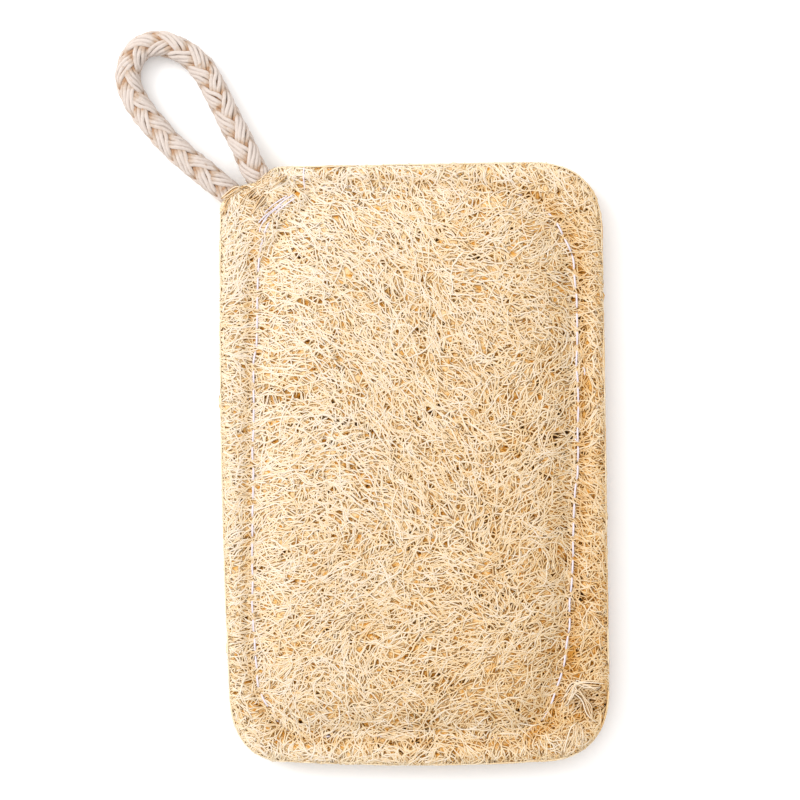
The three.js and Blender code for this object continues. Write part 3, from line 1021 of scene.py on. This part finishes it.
# Places in millimetres that frayed strands of the folded corner run through
CORNER_STRANDS = (
    ((34.6, -56.0), (35.9, -53.0), (37.4, -50.9), (40.0, -50.8), (43.4, -51.4)),
    ((36.2, -53.6), (37.6, -51.4), (39.6, -51.3), (42.8, -51.9)),
    ((35.0, -54.6), (36.4, -52.4), (37.9, -51.2)),
    ((37.0, -52.8), (38.8, -54.6), (40.4, -57.2), (41.6, -60.2)),
    ((37.9, -59.6), (36.8, -61.8), (35.4, -64.2), (34.6, -66.8)),
    ((37.7, -59.9), (37.2, -62.6), (36.6, -66.2)),
    ((38.0, -59.7), (38.6, -62.4), (38.7, -65.4)),
)


# Places that golden strands run through where the cord leaves the pad
MOUTH_STRANDS = (
    ((-37.6, 57.9), (-35.3, 61.1), (-32.0, 64.4), (-30.2, 66.7)),
    ((-38.8, 60.0), (-36.2, 62.3), (-33.9, 64.4)),
    ((-43.6, 61.1), (-41.3, 63.2), (-39.7, 64.0)),
    ((-44.3, 57.7), (-42.7, 60.3), (-40.8, 62.6)),
    ((-40.4, 61.6), (-38.1, 63.5), (-35.3, 64.4), (-33.4, 65.2)),
    ((-41.3, 58.4), (-39.4, 60.7), (-38.1, 63.5)),
    ((-34.9, 62.8), (-34.2, 65.2), (-32.9, 67.6)),
    ((-36.5, 64.3), (-34.0, 65.3), (-31.4, 65.7)),
)


FRAY_RADII = (0.18, 0.27)
# Painted light and shade on each frayed strand, as on the strands of the nets
FRAY_RIDGE_SHADE = 0.5


def add_frayed_strands(name, rng, runs, each, tones):
    """Loose strands of the front panel, each run in several copies."""
    lines = []
    for run in runs:
        for _ in range(each):
            points = np.array(run) + rng.normal(0, 0.5, (len(run), 2))
            height = SEAM_PLANE + panel_rise(points) + rng.uniform(-0.3, 0.35)
            lines.append(smooth_line(np.column_stack([points, height]), 0.8)[0] * MM)
    sizes = [rng.uniform(*FRAY_RADII) * MM for _ in lines]
    shades = [np.full(len(line), rng.uniform(*tones)) for line in lines]
    shades = np.concatenate(shades)
    mesh = mesh_of_lines(name, lines, sizes, STRAND_SIDES, tones=shades, ridge_shade=FRAY_RIDGE_SHADE)
    add_piece(name, mesh, surface_fibre, "loofah_fibre", "front_panel")


add_panel(
    "front_panel",
    face=1,
    seed=3,
    strokes=FRONT_FLOW,
    inner_run=14000,
    net_run=34000,
    step=1.0,
    cell=0.5,
)
fray_rng = np.random.RandomState(5)
add_frayed_strands("front_panel_frayed_corner", fray_rng, CORNER_STRANDS, 5, (0.1, 0.6))
add_frayed_strands("front_panel_cord_mouth", fray_rng, MOUTH_STRANDS, 9, (-0.1, 0.5))
# The back is not in the photo: the same flow mirrored, in a coarser net
back_flow = [(-x, y, -angle, reach) for x, y, angle, reach in FRONT_FLOW]
add_panel(
    "back_panel",
    face=-1,
    seed=8,
    strokes=back_flow,
    inner_run=8000,
    net_run=28000,
    step=1.5,
    cell=0.8,
)


# Seam: a lockstitch of white polyester thread, sewn all round the pad by machine, the needle thread
# on the front face and the bobbin thread on the back, with a bar of tight stitches across the
# cord's ends. Sizes in millimetres
THREAD_RADIUS = 0.24
BAR_THREAD_RADIUS = 0.18
THREAD_SIDES = 6
STITCH_LENGTH = 4.4
POINTS_PER_STITCH = 8
NEEDLE_DIP = 1.1
# The twist of the thread is drawn as fine unevenness, coarser than the real one
PLY_SIZE = 0.667
BAR_STITCHES = (
    ((-36.2, 55.4), (-34.4, 57.4), (-31.6, 59.6)),
    ((-35.4, 55.2), (-33.4, 57.8), (-30.2, 60.2)),
    ((-34.9, 57.8), (-32.6, 59.9), (-29.0, 62.1)),
    ((-33.0, 58.3), (-30.4, 60.6), (-27.6, 62.4)),
    ((-32.2, 57.9), (-29.6, 60.0), (-27.2, 61.6)),
    ((-35.8, 53.2), (-35.4, 55.0), (-33.8, 57.0)),
)
LOOSE_THREADS = (
    ((-25.5, 69.0), (-25.6, 66.4), (-25.3, 63.2)),
    ((38.7, 21.9), (39.3, 22.3), (39.5, 21.4), (39.4, 20.2)),
    ((36.9, 6.2), (37.6, 5.4), (38.3, 4.9)),
)


def stitched_line(loop, face):
    """A closed line that dips into a panel at every needle hole."""
    points = loop_points(loop, 60)
    closed = np.vstack([points, points[:1]])
    run = np.concatenate([[0], np.cumsum(np.linalg.norm(np.diff(closed, axis=0), axis=1))])
    stitches = round(run[-1] / STITCH_LENGTH)
    share = np.arange(stitches * POINTS_PER_STITCH) / POINTS_PER_STITCH
    places = share / stitches * run[-1]
    xy = np.stack([np.interp(places, run, closed[:, i]) for i in range(2)], axis=1)
    sway = np.stack([slow_noise(61, 5.0)(xy), slow_noise(62, 5.0)(xy)], axis=1)
    taut = np.interp(xy[:, 0], (-37, -30, 30, 36), (0.2, -0.1, -0.1, 0.38))
    taut = taut - 0.3 * np.clip((np.abs(xy[:, 1]) - 56) / 5, 0, 1)
    lift = taut - NEEDLE_DIP * np.abs(np.cos(math.pi * share)) ** 7
    height = face_rise(xy) + lift + 0.1 * slow_noise(63, 4.0)(xy)
    return np.column_stack([xy + 0.35 * sway, SEAM_PLANE + face * height])


def thread_on_face(points):
    """A short run of thread lying on the front face, its ends sunk into it."""
    xy = smooth_line(np.column_stack([points, np.zeros(len(points))]), 0.6)[0][:, :2]
    height = face_rise(xy) + 0.1
    height[[0, -1]] -= 0.8
    return np.column_stack([xy, SEAM_PLANE + height])


# Spun polyester thread: smooth, slightly shiny, and cool white beside the golden fibre
polyester, polyester_shader = new_material("white_sewing_thread")
spot = add_node(polyester, "ShaderNodeTexCoord").outputs["Object"]
ply = add_node(
    polyester, "ShaderNodeTexNoise", Vector=spot, Scale=1 / (PLY_SIZE * MM), Detail=2.0
)
ply_bump = add_node(
    polyester, "ShaderNodeBump", Strength=0.4, Distance=0.08 * MM, Height=ply.outputs["Fac"]
)
link(polyester, ply_bump.outputs["Normal"], polyester_shader.inputs["Normal"])
polyester_shader.inputs["Base Color"].default_value = linear("D9D1DA")
polyester_shader.inputs["Roughness"].default_value = 0.5
for name, face in (("needle_thread", 1), ("bobbin_thread", -1)):
    line = stitched_line(SEAM_LINE, face) * MM
    stitches = name + "_stitches"
    mesh = mesh_of_lines(stitches, [line], [THREAD_RADIUS * MM], THREAD_SIDES, closed=True)
    add_piece(stitches, mesh, polyester, "sewing_thread", name)
runs = [thread_on_face(np.array(points)) * MM for points in BAR_STITCHES + LOOSE_THREADS]
radii = [BAR_THREAD_RADIUS * MM] * len(runs)
mesh = mesh_of_lines("needle_thread_bar", runs, radii, THREAD_SIDES)
add_piece("needle_thread_bar", mesh, polyester, "sewing_thread", "needle_thread")
